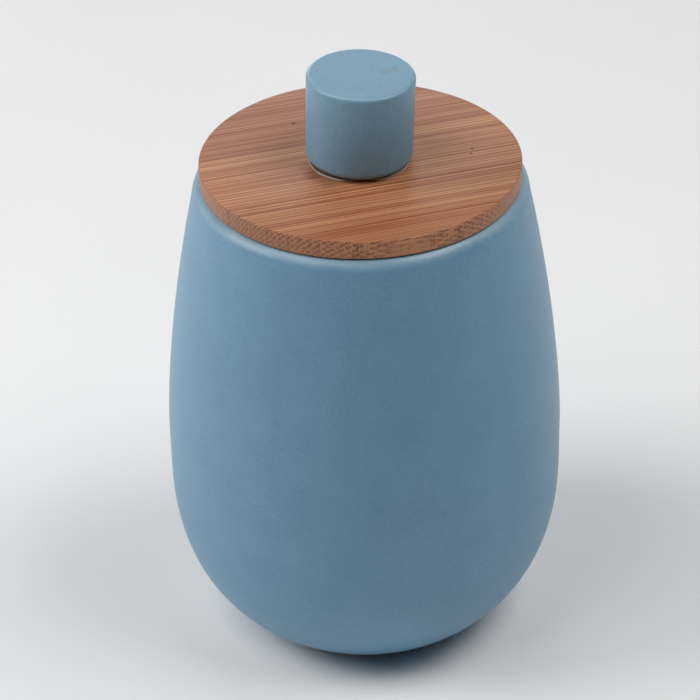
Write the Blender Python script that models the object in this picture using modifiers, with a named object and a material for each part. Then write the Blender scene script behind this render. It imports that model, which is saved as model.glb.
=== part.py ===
"""Ceramic bathroom jar with a bamboo lid that lifts off.

The jar is an egg-shaped, slip-cast body. Its lid is a thin bamboo disc with a grooved bamboo
plug under it, a lipped silicone ring in the groove, and a glazed knob on a bead of clear glue.
Units are metres, +Z is up, and the origin is the centre of the foot.
"""

import math

import bpy

# Jar body, outside. Below the belly and above the shoulder the wall is a superellipse.
BODY_RADIUS = 0.0500
BELLY_HEIGHT = 0.0455
LOWER_DEPTH = 0.0515
LOWER_POWER = 2.40
SHOULDER_HEIGHT = 0.0562
UPPER_RISE = 0.1600
UPPER_POWER = 1.54
RIM_HEIGHT = 0.1256
RIM_ROUNDING = 0.0040
SLOPE_STEP = 0.0010

# Jar body, foot ring.
FOOT_OUTER_RADIUS = 0.0278
FOOT_INNER_RADIUS = 0.0236
FOOT_EDGE_HEIGHT = 0.0004
RECESS_DEPTH = 0.0020
RECESS_ROUNDING = 0.0016

# Jar body, inside.
WALL = 0.0046
FLOOR_HEIGHT = 0.0070
FLOOR_POWER = 3.40
MOUTH_RADIUS = 0.0360
MOUTH_LAND_BOTTOM = 0.1150
MOUTH_BLEND_BOTTOM = 0.1000
MOUTH_ROUNDING = 0.0010

# Lid disc.
SEAT_GAP = 0.0003
LID_RADIUS = 0.0393
LID_THICKNESS = 0.0045
LID_TOP_EASE = 0.0004
LID_BOTTOM_EASE = 0.0002
LID_BOTTOM = RIM_HEIGHT + SEAT_GAP
LID_TOP = LID_BOTTOM + LID_THICKNESS

# Lid plug, the board under the disc that centres it in the mouth.
PLUG_RADIUS = 0.0346
PLUG_THICKNESS = 0.0090
PLUG_CHAMFER = 0.0010
PLUG_TOP = LID_BOTTOM - SEAT_GAP
PLUG_BOTTOM = PLUG_TOP - PLUG_THICKNESS
GROOVE_DEPTH = 0.0022
GROOVE_HEIGHT = 0.0042
GROOVE_MIDDLE_RISE = 0.0045
GROOVE_MIDDLE = PLUG_BOTTOM + GROOVE_MIDDLE_RISE

# Seal ring. Its lips are drawn as the mouth bends them, swept up and a hair clear of the wall.
LIP_COUNT = 2
LIP_PITCH = 0.0018
LIP_ROOT = 0.0010
LIP_TIP = 0.0004
LIP_NOSE = 0.0001
LIP_SWEEP = 0.0008
LIP_RADIUS = MOUTH_RADIUS - SEAT_GAP
SEAL_INSET = 0.0001
SEAL_OUTER_RADIUS = PLUG_RADIUS - SEAL_INSET
SEAL_INNER_RADIUS = PLUG_RADIUS - GROOVE_DEPTH + SEAT_GAP
SEAL_HEIGHT = GROOVE_HEIGHT - 2 * SEAT_GAP

# Knob, a short cylinder with a little draft, cast hollow from below.
KNOB_HEIGHT = 0.0225
KNOB_TOP_RADIUS = 0.0132
KNOB_FOOT_RADIUS = 0.0131
KNOB_TOP_ROUNDING = 0.0008
KNOB_FOOT_ROUNDING = 0.0020
KNOB_STAND_OFF = 0.0011
KNOB_BOTTOM = LID_TOP + KNOB_STAND_OFF
KNOB_TOP = KNOB_BOTTOM + KNOB_HEIGHT
HOLLOW_MOUTH_RADIUS = 0.0070
HOLLOW_END_RADIUS = 0.0063
HOLLOW_DEPTH = 0.0150
HOLLOW_END_ROUNDING = 0.0035

# Bead of clear glue between the knob and the disc.
GLUE_GAP = 0.0002
GLUE_INNER_RADIUS = 0.0084
GLUE_OUTER_RADIUS = 0.0125
GLUE_THICKNESS = KNOB_STAND_OFF - 2 * GLUE_GAP

# Finishes, as sRGB colour and roughness.
GLAZE = ("6C97AF", 0.42)
DISC_BAMBOO = ("B07A52", 0.50)
PLUG_BAMBOO = ("A87550", 0.55)
SILICONE = ("D9DCDB", 0.35)
SILICONE_ALPHA = 0.7
GLUE = ("CFC4BC", 0.08)
GLUE_ALPHA = 0.5

# Facets: how many steps a turn has, and how many each stretch of a profile.
LARGE_TURN_STEPS = 64
SMALL_TURN_STEPS = 48
RIM_FACETS = 5
UPPER_FACETS = 10
LOWER_FACETS = 12
FLOOR_FACETS = 12
WALL_FACETS = 5
BLEND_FACETS = 6
EDGE_FACETS = 3
EASE_FACETS = 2
KNOB_EDGE_FACETS = 5
HOLLOW_FACETS = 4
GLUE_FACETS = 6
MERGE_DISTANCE = 0.00001
AXIS_SYMBOL_SIZE = 0.02


def clear_scene():
    for obj in list(bpy.data.objects):
        bpy.data.objects.remove(obj, do_unlink=True)


def linear(hex_colour):
    """Turn an sRGB hex colour into the linear values that a shader takes."""
    values = []
    for start in (0, 2, 4):
        channel = int(hex_colour[start:start + 2], 16) / 255
        values.append(channel / 12.92 if channel <= 0.04045 else ((channel + 0.055) / 1.055) ** 2.4)
    return (*values, 1.0)


def finish(name, hex_colour, roughness, alpha=1.0):
    material = bpy.data.materials.new(name)
    material.use_nodes = True
    shader = material.node_tree.nodes["Principled BSDF"]
    shader.inputs["Base Color"].default_value = linear(hex_colour)
    shader.inputs["Roughness"].default_value = roughness
    shader.inputs["Metallic"].default_value = 0.0
    shader.inputs["Alpha"].default_value = alpha
    return material


def arc(centre_r, centre_z, radius, start, end, count):
    """Points on a round corner, from one angle to another in degrees, both ends included."""
    points = []
    for step in range(count + 1):
        angle = math.radians(start + (end - start) * step / count)
        points.append((centre_r + radius * math.cos(angle), centre_z + radius * math.sin(angle)))
    return points


def superellipse(radius, centre_z, height, power, start, end, count):
    """Points on a quarter superellipse. The angle runs from 0, level with its centre, to 90."""
    points = []
    for step in range(count + 1):
        angle = math.radians(start + (end - start) * step / count)
        across = max(math.cos(angle), 0.0) ** (2 / power)
        along = math.sin(angle) ** (2 / power)
        points.append((radius * across, centre_z + height * along))
    return points


def outer_radius(z):
    """Outside radius of the jar's upper wall at a height above the foot."""
    rise = max(z - SHOULDER_HEIGHT, 0.0) / UPPER_RISE
    return BODY_RADIUS * (1 - rise ** UPPER_POWER) ** (1 / UPPER_POWER)


def superellipse_angle(rise, power):
    """Angle at which the quarter superellipse reaches this share of its height, in degrees."""
    return math.degrees(math.asin(rise ** (power / 2)))


def turned(name, profile, steps, material, collection, closed=False):
    """Turn a profile of (radius, height) points about +Z with a Screw modifier.

    The profile runs down the outer side, from top to bottom. An open one starts and ends on the
    axis, and a closed one is the section of a ring.
    """
    edges = [(index, index + 1) for index in range(len(profile) - 1)]
    if closed:
        edges.append((len(profile) - 1, 0))
    mesh = bpy.data.meshes.new(name)
    mesh.from_pydata([(radius, 0.0, height) for radius, height in profile], edges, [])
    mesh.materials.append(material)
    obj = bpy.data.objects.new(name, mesh)
    collection.objects.link(obj)

    screw = obj.modifiers.new("Turn", "SCREW")
    screw.axis = "Z"
    screw.angle = math.tau
    screw.steps = steps
    screw.render_steps = steps
    screw.use_merge_vertices = True
    screw.merge_threshold = MERGE_DISTANCE
    screw.use_smooth_shade = True
    shading = obj.modifiers.new("Flat faces stay flat", "WEIGHTED_NORMAL")
    shading.keep_sharp = True
    return obj


def jar_outside():
    """The outer wall from the top of the rim down to the centre of the foot's recess."""
    rim_z = RIM_HEIGHT - RIM_ROUNDING
    drop = outer_radius(rim_z - SLOPE_STEP) - outer_radius(rim_z + SLOPE_STEP)
    lean = math.atan(drop / (2 * SLOPE_STEP))
    rim_r = outer_radius(rim_z) - RIM_ROUNDING / math.cos(lean)
    wall_top = rim_z + RIM_ROUNDING * math.sin(lean)
    rim = arc(rim_r, rim_z, RIM_ROUNDING, 90, math.degrees(lean), RIM_FACETS)

    top_angle = superellipse_angle((wall_top - SHOULDER_HEIGHT) / UPPER_RISE, UPPER_POWER)
    upper = superellipse(BODY_RADIUS, SHOULDER_HEIGHT, UPPER_RISE, UPPER_POWER,
                         top_angle, 0, UPPER_FACETS)
    foot_angle = superellipse_angle((BELLY_HEIGHT - FOOT_EDGE_HEIGHT) / LOWER_DEPTH, LOWER_POWER)
    lower = superellipse(BODY_RADIUS, BELLY_HEIGHT, -LOWER_DEPTH, LOWER_POWER,
                         0, foot_angle, LOWER_FACETS)

    recess_r = FOOT_INNER_RADIUS - RECESS_ROUNDING
    foot = [(FOOT_OUTER_RADIUS, 0.0), (FOOT_INNER_RADIUS, 0.0)]
    recess_edge = arc(recess_r, RECESS_DEPTH - RECESS_ROUNDING, RECESS_ROUNDING,
                      0, 90, EDGE_FACETS)
    return rim + upper[1:] + lower + foot + recess_edge + [(0.0, RECESS_DEPTH)]


def jar_inside():
    """The inner wall from the centre of the floor up to the top of the rim."""
    inner_radius = BODY_RADIUS - WALL
    depth = BELLY_HEIGHT - FLOOR_HEIGHT
    floor = superellipse(inner_radius, BELLY_HEIGHT, -depth, FLOOR_POWER, 90, 0, FLOOR_FACETS)

    wall = []
    for step in range(WALL_FACETS + 1):
        z = SHOULDER_HEIGHT + (MOUTH_BLEND_BOTTOM - SHOULDER_HEIGHT) * step / WALL_FACETS
        wall.append((outer_radius(z) - WALL, z))

    blend = []
    for step in range(1, BLEND_FACETS + 1):
        share = step / BLEND_FACETS
        z = MOUTH_BLEND_BOTTOM + (MOUTH_LAND_BOTTOM - MOUTH_BLEND_BOTTOM) * share
        eased = share * share * (3 - 2 * share)
        blend.append(((outer_radius(z) - WALL) * (1 - eased) + MOUTH_RADIUS * eased, z))

    rounding_r = MOUTH_RADIUS + MOUTH_ROUNDING
    mouth_edge = arc(rounding_r, RIM_HEIGHT - MOUTH_ROUNDING, MOUTH_ROUNDING,
                     180, 90, EDGE_FACETS)
    return floor + wall + blend + mouth_edge


def make_jar_body(collection):
    glaze = finish("Satin blue glaze on the jar", *GLAZE)
    profile = jar_inside() + jar_outside()
    return turned("jar_body", profile, LARGE_TURN_STEPS, glaze, collection)


def make_lid_disc(collection):
    bamboo = finish("Carbonised bamboo disc", *DISC_BAMBOO)
    edge_r = LID_RADIUS - LID_TOP_EASE
    profile = [(0.0, LID_TOP)]
    profile += arc(edge_r, LID_TOP - LID_TOP_EASE, LID_TOP_EASE, 90, 0, EDGE_FACETS)
    profile += arc(LID_RADIUS - LID_BOTTOM_EASE, LID_BOTTOM + LID_BOTTOM_EASE,
                   LID_BOTTOM_EASE, 0, -90, EASE_FACETS)
    profile.append((0.0, LID_BOTTOM))
    return turned("lid_disc", profile, LARGE_TURN_STEPS, bamboo, collection)


def make_lid_plug(collection):
    bamboo = finish("Carbonised bamboo plug", *PLUG_BAMBOO)
    groove_r = PLUG_RADIUS - GROOVE_DEPTH
    groove_top = GROOVE_MIDDLE + GROOVE_HEIGHT / 2
    groove_bottom = GROOVE_MIDDLE - GROOVE_HEIGHT / 2
    profile = [
        (0.0, PLUG_TOP),
        (PLUG_RADIUS, PLUG_TOP),
        (PLUG_RADIUS, groove_top),
        (groove_r, groove_top),
        (groove_r, groove_bottom),
        (PLUG_RADIUS, groove_bottom),
        (PLUG_RADIUS, PLUG_BOTTOM + PLUG_CHAMFER),
        (PLUG_RADIUS - PLUG_CHAMFER, PLUG_BOTTOM),
        (0.0, PLUG_BOTTOM),
    ]
    return turned("lid_plug", profile, LARGE_TURN_STEPS, bamboo, collection)


def make_seal_ring(collection):
    silicone = finish("Clear silicone seal", *SILICONE, alpha=SILICONE_ALPHA)
    top = GROOVE_MIDDLE + SEAL_HEIGHT / 2
    bottom = GROOVE_MIDDLE - SEAL_HEIGHT / 2
    profile = [(SEAL_INNER_RADIUS, top), (SEAL_OUTER_RADIUS, top)]
    for lip in range(LIP_COUNT):
        root_z = GROOVE_MIDDLE + LIP_PITCH * ((LIP_COUNT - 1) / 2 - lip)
        tip_z = root_z + LIP_SWEEP
        profile += [
            (SEAL_OUTER_RADIUS, root_z + LIP_ROOT / 2),
            (LIP_RADIUS - LIP_NOSE, tip_z + LIP_TIP / 2),
            (LIP_RADIUS, tip_z),
            (LIP_RADIUS - LIP_NOSE, tip_z - LIP_TIP / 2),
            (SEAL_OUTER_RADIUS, root_z - LIP_ROOT / 2),
        ]
    profile += [(SEAL_OUTER_RADIUS, bottom), (SEAL_INNER_RADIUS, bottom)]
    return turned("seal_ring", profile, LARGE_TURN_STEPS, silicone, collection, closed=True)


def make_knob(collection):
    glaze = finish("Satin blue glaze on the knob", *GLAZE)
    profile = [(0.0, KNOB_TOP)]
    profile += arc(KNOB_TOP_RADIUS - KNOB_TOP_ROUNDING, KNOB_TOP - KNOB_TOP_ROUNDING,
                   KNOB_TOP_ROUNDING, 90, 0, KNOB_EDGE_FACETS)
    profile += arc(KNOB_FOOT_RADIUS - KNOB_FOOT_ROUNDING, KNOB_BOTTOM + KNOB_FOOT_ROUNDING,
                   KNOB_FOOT_ROUNDING, 0, -90, KNOB_EDGE_FACETS)
    profile.append((HOLLOW_MOUTH_RADIUS, KNOB_BOTTOM))
    hollow_top = KNOB_BOTTOM + HOLLOW_DEPTH
    profile += arc(HOLLOW_END_RADIUS - HOLLOW_END_ROUNDING, hollow_top - HOLLOW_END_ROUNDING,
                   HOLLOW_END_ROUNDING, 0, 90, HOLLOW_FACETS)
    profile.append((0.0, hollow_top))
    return turned("knob", profile, SMALL_TURN_STEPS, glaze, collection)


def make_knob_glue(collection):
    glue = finish("Clear glue", *GLUE, alpha=GLUE_ALPHA)
    bottom = LID_TOP + GLUE_GAP
    middle = bottom + GLUE_THICKNESS / 2
    bulge = arc(GLUE_OUTER_RADIUS - GLUE_THICKNESS / 2, middle, GLUE_THICKNESS / 2,
                90, -90, GLUE_FACETS)
    inner = [(GLUE_INNER_RADIUS, bottom), (GLUE_INNER_RADIUS, bottom + GLUE_THICKNESS)]
    return turned("knob_glue", bulge + inner, SMALL_TURN_STEPS, glue, collection, closed=True)


def make_lid_axis(collection, pieces):
    """Parent the pieces that lift off to an empty on the axis of the mouth."""
    axis = bpy.data.objects.new("lid_lift_axis", None)
    axis.empty_display_size = AXIS_SYMBOL_SIZE
    axis.location = (0.0, 0.0, LID_BOTTOM)
    collection.objects.link(axis)
    for piece in pieces:
        piece.parent = axis
        piece.location = (0.0, 0.0, -LID_BOTTOM)


def main():
    clear_scene()
    jar = bpy.data.collections.new("Bathroom jar")
    bpy.context.scene.collection.children.link(jar)
    make_jar_body(jar)
    lid = [
        make_lid_disc(jar),
        make_lid_plug(jar),
        make_seal_ring(jar),
        make_knob(jar),
        make_knob_glue(jar),
    ]
    make_lid_axis(jar, lid)


main()
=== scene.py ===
import math

import bmesh
import bpy
from mathutils import Euler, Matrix, Quaternion, Vector, noise


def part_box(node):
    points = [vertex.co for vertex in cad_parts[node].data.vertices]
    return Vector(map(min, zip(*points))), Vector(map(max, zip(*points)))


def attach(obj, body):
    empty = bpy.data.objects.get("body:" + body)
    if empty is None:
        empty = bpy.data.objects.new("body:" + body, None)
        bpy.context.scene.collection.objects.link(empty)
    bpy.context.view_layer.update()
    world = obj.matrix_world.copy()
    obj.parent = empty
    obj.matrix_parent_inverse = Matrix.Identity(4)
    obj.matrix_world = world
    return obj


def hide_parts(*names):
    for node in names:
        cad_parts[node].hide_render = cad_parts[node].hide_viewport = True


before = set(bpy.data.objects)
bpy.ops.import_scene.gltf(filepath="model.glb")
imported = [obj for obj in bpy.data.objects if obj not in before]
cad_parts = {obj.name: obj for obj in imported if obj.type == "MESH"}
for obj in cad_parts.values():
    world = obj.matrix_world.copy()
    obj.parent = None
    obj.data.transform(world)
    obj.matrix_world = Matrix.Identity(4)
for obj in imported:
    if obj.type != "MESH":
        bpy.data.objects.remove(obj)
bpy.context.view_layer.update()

mm = 0.001
print("frame loaded:", ", ".join(sorted(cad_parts)))

# a Mix node has a pair A and B for each kind of value, and these are its colour ones
mixA, mixB, mixOut = 6, 7, 2


def linearColour(hexColour):
    # the sRGB curve, undone
    channels = [int(hexColour[i:i + 2], 16) / 255 for i in (0, 2, 4)]
    return [c / 12.92 if c <= 0.04045 else ((c + 0.055) / 1.055) ** 2.4 for c in channels] + [1.0]


def addNode(tree, kind, settings=None, inputs=None):
    # an input is a value, or another node's output to link
    node = tree.nodes.new(kind)
    for key, value in (settings or {}).items():
        if key == "stops":  # a colour ramp's stops: place and hex colour
            ramp = node.color_ramp
            while len(ramp.elements) < len(value):
                ramp.elements.new(0.5)
            for stop, (place, colour) in zip(ramp.elements, value):
                stop.position = place
                stop.color = linearColour(colour)
        elif key == "rampMode":
            node.color_ramp.interpolation = value
        else:
            setattr(node, key, value)
    for key, value in (inputs or {}).items():
        if isinstance(value, bpy.types.NodeSocket):
            tree.links.new(value, node.inputs[key])
        else:
            node.inputs[key].default_value = value
    return node


def startMaterial(name):
    material = bpy.data.materials.new(name)
    material.use_nodes = True
    tree = material.node_tree
    return material, tree, tree.nodes["Principled BSDF"]


def box(node):
    # a round piece's radius and ends in the frame, in millimetres
    low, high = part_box(node)
    return {"radius": high.x / mm, "bottom": low.z / mm, "top": high.z / mm}


def ease(share):
    # from 0 to 1 with a gentle start and end
    return share * share * (3 - 2 * share)


def arc(centreR, centreZ, radius, start, end, count):
    points = []
    for step in range(count + 1):
        angle = math.radians(start + (end - start) * step / count)
        points.append((centreR + radius * math.cos(angle), centreZ + radius * math.sin(angle)))
    return points


def turn(outline, steps, closed=False):
    # spins an outline about the vertical axis and closes it
    bm = bmesh.new()
    points = [bm.verts.new((r * mm, 0, z * mm)) for r, z in outline]
    pairs = list(zip(points, points[1:]))
    if closed:
        pairs.append((points[-1], points[0]))
    edges = [bm.edges.new(pair) for pair in pairs]
    bmesh.ops.spin(bm, geom=points + edges, axis=(0, 0, 1), cent=(0, 0, 0),
                   angle=math.tau, steps=steps, use_merge=True)
    bmesh.ops.remove_doubles(bm, verts=bm.verts, dist=0.001 * mm)
    bmesh.ops.recalc_face_normals(bm, faces=bm.faces)
    return bm


def castUnevenly(bm, cast, beyond, low, high=math.inf):
    # casting leaves a wall a hair out of true, always inwards from the drawn outline
    for vert in bm.verts:
        reach = Vector((vert.co.x, vert.co.y, 0))
        if low * mm < vert.co.z < high * mm and reach.length > beyond * mm:
            push = 0.5 + 0.5 * noise.noise(vert.co * cast["wavesPerMetre"])
            vert.co -= reach.normalized() * push * cast["depth"] * mm


def finishPiece(bm, name, materials, body, node, sharpAngle=40):
    mesh = bpy.data.meshes.new(name)
    bm.to_mesh(mesh)
    bm.free()
    for material in materials:
        mesh.materials.append(material)
    mesh.shade_smooth()
    mesh.set_sharp_from_angle(angle=math.radians(sharpAngle))
    piece = bpy.data.objects.new(name, mesh)
    bpy.context.scene.collection.objects.link(piece)
    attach(piece, body)
    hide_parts(node)
    print(name, "made,", len(mesh.polygons), "faces")
    return piece


def makeSpots(tree, place, spots, angle, height):
    # how much of a small oval mark is at a point; spots are x, y, half length and half width
    full, gone = 0.5, 1.1  # shares of the half sizes
    most = 0.0
    for x, y, halfLength, halfWidth in spots:
        spot = addNode(tree, "ShaderNodeMapping", {"vector_type": "TEXTURE"}, {
            "Vector": place, "Location": (x * mm, y * mm, height * mm),
            "Rotation": (0, 0, math.radians(angle)),
            "Scale": (halfLength * mm, halfWidth * mm, mm)})
        away = addNode(tree, "ShaderNodeVectorMath", {"operation": "LENGTH"}, {
            0: spot.outputs["Vector"]})
        inside = addNode(tree, "ShaderNodeMapRange", {"interpolation_type": "SMOOTHSTEP"}, {
            "Value": away.outputs["Value"], "From Min": full, "From Max": gone,
            "To Min": 1.0, "To Max": 0.0})
        most = addNode(tree, "ShaderNodeMath", {"operation": "MAXIMUM"}, {
            0: inside.outputs["Result"], 1: most}).outputs["Value"]
    return most


# Satin glaze: a coloured stoneware glaze, sprayed and fired. It is smooth and soft-sheened,
# mottled very finely, with an orange-peel skin and a few iron specks. Over the rounded edges it
# is paler, partly where it ran thin and partly as a painted highlight where the edges catch the
# lamps.
glazeLook = {
    "deep": "618CA9", "deepAt": 0.45, "colour": "709CB7", "colourAt": 0.95,
    # real mottling is about 0.2 mm, under a pixel here, so it is drawn at twice that
    "mottleSize": 0.45, "poolSize": 14.0, "poolShare": 0.5,
    "speck": "3E5568", "speckSpacing": 11.0, "speckSize": 0.22, "speckStrength": 0.8,
    # pale over the rounded edges: thin glaze, and partly a painted highlight
    "thinAndHighlight": "A9BFC9", "edgeGloss": 0.10,
    "stain": "748E8F", "stains": (), "stainHeight": 0.0,
    "peelSize": 1.1, "peelDepth": 0.02, "peelStrength": 0.25,
    "roughness": 0.40, "roughnessSpread": 0.05, "ior": 1.5,
}
# the knob's glaze is a shade greyer than the jar's, and its top has two or three faint wax stains
knobGlazeLook = dict(
    glazeLook, colour="779FB6", deep="668EA6", stainHeight=153.4,
    stains=((6.1, 0.8, 1.7, 2.0), (8.5, 2.3, 0.8, 1.9), (3.3, 4.6, 0.5, 0.5)))


def makeGlaze(name, look):
    material, tree, shader = startMaterial(name)
    place = addNode(tree, "ShaderNodeTexCoord").outputs["Object"]
    mottle = addNode(tree, "ShaderNodeTexNoise", {}, {
        "Vector": place, "Scale": 1 / (look["mottleSize"] * mm), "Detail": 2.0, "Roughness": 0.6})
    pooling = addNode(tree, "ShaderNodeTexNoise", {}, {
        "Vector": place, "Scale": 1 / (look["poolSize"] * mm), "Detail": 3.0, "Roughness": 0.5})
    mixed = addNode(tree, "ShaderNodeMath", {"operation": "MULTIPLY_ADD"}, {
        0: pooling.outputs["Fac"], 1: look["poolShare"], 2: mottle.outputs["Fac"]})
    tone = addNode(tree, "ShaderNodeValToRGB", {"stops": [
        (look["deepAt"], look["deep"]), (look["colourAt"], look["colour"])]}, {
        "Fac": mixed.outputs["Value"]})

    cells = addNode(tree, "ShaderNodeTexVoronoi", {}, {
        "Vector": place, "Scale": 1 / (look["speckSpacing"] * mm)})
    speck = addNode(tree, "ShaderNodeMapRange", {"interpolation_type": "SMOOTHSTEP"}, {
        "Value": cells.outputs["Distance"],
        "From Min": look["speckSize"] / look["speckSpacing"], "From Max": 0.0,
        "To Min": 0.0, "To Max": look["speckStrength"]})
    # the rounded edges are paler: thin glaze, and partly a painted highlight
    edge = addNode(tree, "ShaderNodeAttribute", {"attribute_name": "thinGlaze"})
    thinnessAndHighlight = addNode(tree, "ShaderNodeMath", {"operation": "MULTIPLY"}, {
        0: edge.outputs["Fac"], 1: pooling.outputs["Fac"]})
    faint = addNode(tree, "ShaderNodeMath", {"operation": "MULTIPLY"}, {
        0: makeSpots(tree, place, look["stains"], 0, look["stainHeight"]),
        1: pooling.outputs["Fac"]})
    colour = tone.outputs["Color"]
    for amount, over in ((speck.outputs["Result"], "speck"), (thinnessAndHighlight.outputs["Value"], "thinAndHighlight"),
                         (faint.outputs["Value"], "stain")):
        colour = addNode(tree, "ShaderNodeMix", {"data_type": "RGBA"}, {
            0: amount, mixA: colour, mixB: linearColour(look[over])}).outputs[mixOut]

    peel = addNode(tree, "ShaderNodeTexNoise", {}, {
        "Vector": place, "Scale": 1 / (look["peelSize"] * mm), "Detail": 3.0})
    bump = addNode(tree, "ShaderNodeBump", {}, {
        "Height": peel.outputs["Fac"], "Strength": look["peelStrength"],
        "Distance": look["peelDepth"] * mm})
    rough = addNode(tree, "ShaderNodeMapRange", {}, {
        "Value": pooling.outputs["Fac"], "To Min": look["roughness"] - look["roughnessSpread"],
        "To Max": look["roughness"] + look["roughnessSpread"]})
    glossier = addNode(tree, "ShaderNodeMath", {"operation": "MULTIPLY_ADD"}, {
        0: edge.outputs["Fac"], 1: -look["edgeGloss"], 2: rough.outputs["Result"]})
    tree.links.new(colour, shader.inputs["Base Color"])
    tree.links.new(glossier.outputs["Value"], shader.inputs["Roughness"])
    tree.links.new(bump.outputs["Normal"], shader.inputs["Normal"])
    shader.inputs["IOR"].default_value = look["ior"]
    return material


def thinGlazeAndHighlightOverEdge(bm, centreR, centreZ, radius, thinAndHighlight):
    # marks where the glaze ran thin off a rounded edge, and where a painted highlight lies on it:
    # peak and spread are angles on the bend
    mark = bm.verts.layers.float.new("thinGlaze")
    nearBend = radius * 0.1
    for vert in bm.verts:
        out = vert.co.to_2d().length / mm - centreR
        up = vert.co.z / mm - centreZ
        if out > 0 and up > 0 and abs(math.hypot(out, up) - radius) < nearBend:
            off = abs(math.degrees(math.atan2(up, out)) - thinAndHighlight["peak"]) / thinAndHighlight["spread"]
            vert[mark] = thinAndHighlight["strength"] * max(1 - off * off, 0.0)


# Bare stoneware: the wiped foot, fired without glaze. Pale, dry and finely gritty.
clayLook = {
    "grit": "A99F92", "gritAt": 0.35, "colour": "CFC6B8", "colourAt": 0.6,
    "gritSize": 0.5, "gritDepth": 0.05, "gritStrength": 0.5, "roughness": 0.85,
}


def makeClay(look):
    material, tree, shader = startMaterial("Bare fired stoneware")
    place = addNode(tree, "ShaderNodeTexCoord").outputs["Object"]
    grit = addNode(tree, "ShaderNodeTexNoise", {}, {
        "Vector": place, "Scale": 1 / (look["gritSize"] * mm), "Detail": 4.0})
    tone = addNode(tree, "ShaderNodeValToRGB", {"stops": [
        (look["gritAt"], look["grit"]), (look["colourAt"], look["colour"])]}, {
        "Fac": grit.outputs["Fac"]})
    bump = addNode(tree, "ShaderNodeBump", {}, {
        "Height": grit.outputs["Fac"], "Strength": look["gritStrength"],
        "Distance": look["gritDepth"] * mm})
    tree.links.new(tone.outputs["Color"], shader.inputs["Base Color"])
    tree.links.new(bump.outputs["Normal"], shader.inputs["Normal"])
    shader.inputs["Roughness"].default_value = look["roughness"]
    return material


# Carbonised bamboo: steamed, pressed flat, turned and oiled. Its fibre bundles run the length
# of the board, so one solid pattern gives fine streaks on the face and dark rings on the edge,
# and the polish leaves a low, even sheen.
bambooLook = {
    "grainAngle": 16.7,  # from +X towards +Y
    # the grain drifts a little across and up, over long stretches
    "wander": (0.0, 0.35, 0.9), "wanderLength": 160.0, "wanderWidth": 9.0,
    # tone bands, and fibres; the real fibres are about 0.1 mm, so they are drawn four times as
    # coarse to show, and a cut is the place in the pattern that is used
    "bandLength": 150.0, "bandWidth": 1.8, "bandCut": 3.0, "bandWeight": 0.21,
    "fibreLength": 120.0, "fibreWidth": 0.43, "fibreCut": 62.4,
    "darkFibre": "8F401B", "darkAt": 0.362, "paleFibre": "CF9A71", "paleAt": 0.827,
    # five strips make the board, the outer two cut down to slivers, and each has its own tone
    "stripWidth": 24.0, "jointAcross": -37.3, "jointHalfWidth": 0.50, "jointStrength": 0.5,
    "stripTones": ("F4F0EA", "F4F0E9", "FFFFFF", "E6DAD4", "EEE4DE"),
    # a bundle has a dark sheath round a paler core, heaviest on the side away from the bark
    "bundle": "62261A", "bundleAcross": 1.02, "bundleDeep": 0.74, "bundleTilt": 0.16,
    "bundleHalfWidth": 0.28, "bundleHalfHeight": 0.44, "scatter": 0.34, "rowShift": 0.5,
    "stripShift": (7.31, 3.57, 0.0), "faintest": 0.72,
    "sheath": [(0.0, "303030"), (0.25, "484848"), (0.45, "FFFFFF"), (0.82, "FFFFFF"),
               (1.0, "000000")],
    "heavyAt": -0.5, "heavy": 1.2, "lightAt": 0.8, "light": 0.5,
    # bundles darken towards the bark side, which is the face, and on it they are cut lengthwise
    "deepest": -4.5, "darkDeep": 0.65, "darkNear": 0.92, "shownOnFace": 0.40,
    # the turned edge: how far in it starts and is full, and how much of the oil it took
    "edgeStart": 0.22, "edgeFull": 0.06, "edgeSoak": 0.7,
    "edgeAlong": "DA9667", "edgeAcross": "9C6F54",
    # where the edge runs with the grain, bundles hardly show; shares of the edge's radius
    "alongFrom": 0.04, "alongTo": 0.22, "shownAlong": 0.25,
    # nor where the sanding closed the board's ends, more at the right; shares of it too
    "endShift": 0.22, "endFrom": 0.64, "endTo": 0.95, "shownAtEnd": 0.3,
    # short reddish dashes along the grain, across it and up, in the harder half near the face
    "dash": "7A4230", "dashSize": (1.9, 6.0, 0.30), "dashFrom": 0.52, "dashTo": 0.68,
    "dashStrength": 0.75, "dashLow": -3.6, "dashHigh": -2.2, "dashNear": 0.10, "dashFar": 0.28,
    # lathe scratches are finer than a pixel, so they are drawn some 0.3 mm apart to show
    "scratchSpacing": 0.3, "scratchFrom": 0.55, "scratchTo": 0.75, "scratchStrength": 0.35,
    # a painted shadow of the knob on the wood beside its foot, then pores left open on the face:
    # x, y, half length along the grain and half width
    "knobShadow": "5E3A28", "knobShadowStrength": 0.32,
    "knobShadowSpots": ((-12.6, -3.4, 3.2, 3.2), (-10.8, -7.4, 3.6, 3.6), (-7.6, -10.8, 3.2, 3.2)),
    "pore": "2C1C1A",
    "pores": ((-16.3, 18.3, 0.58, 0.54), (27.3, 3.7, 0.44, 0.42), (27.0, 1.5, 0.32, 0.32)),
    "bundleSink": 0.6, "reliefDepth": 0.02, "reliefStrength": 0.4,
    "roughness": 0.46, "roughnessSpread": 0.08,
}


def streakScale(length, width):
    # a pattern's scale for streaks this long and wide along the grain
    return 1 / length, 1 / width, 1 / width


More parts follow.
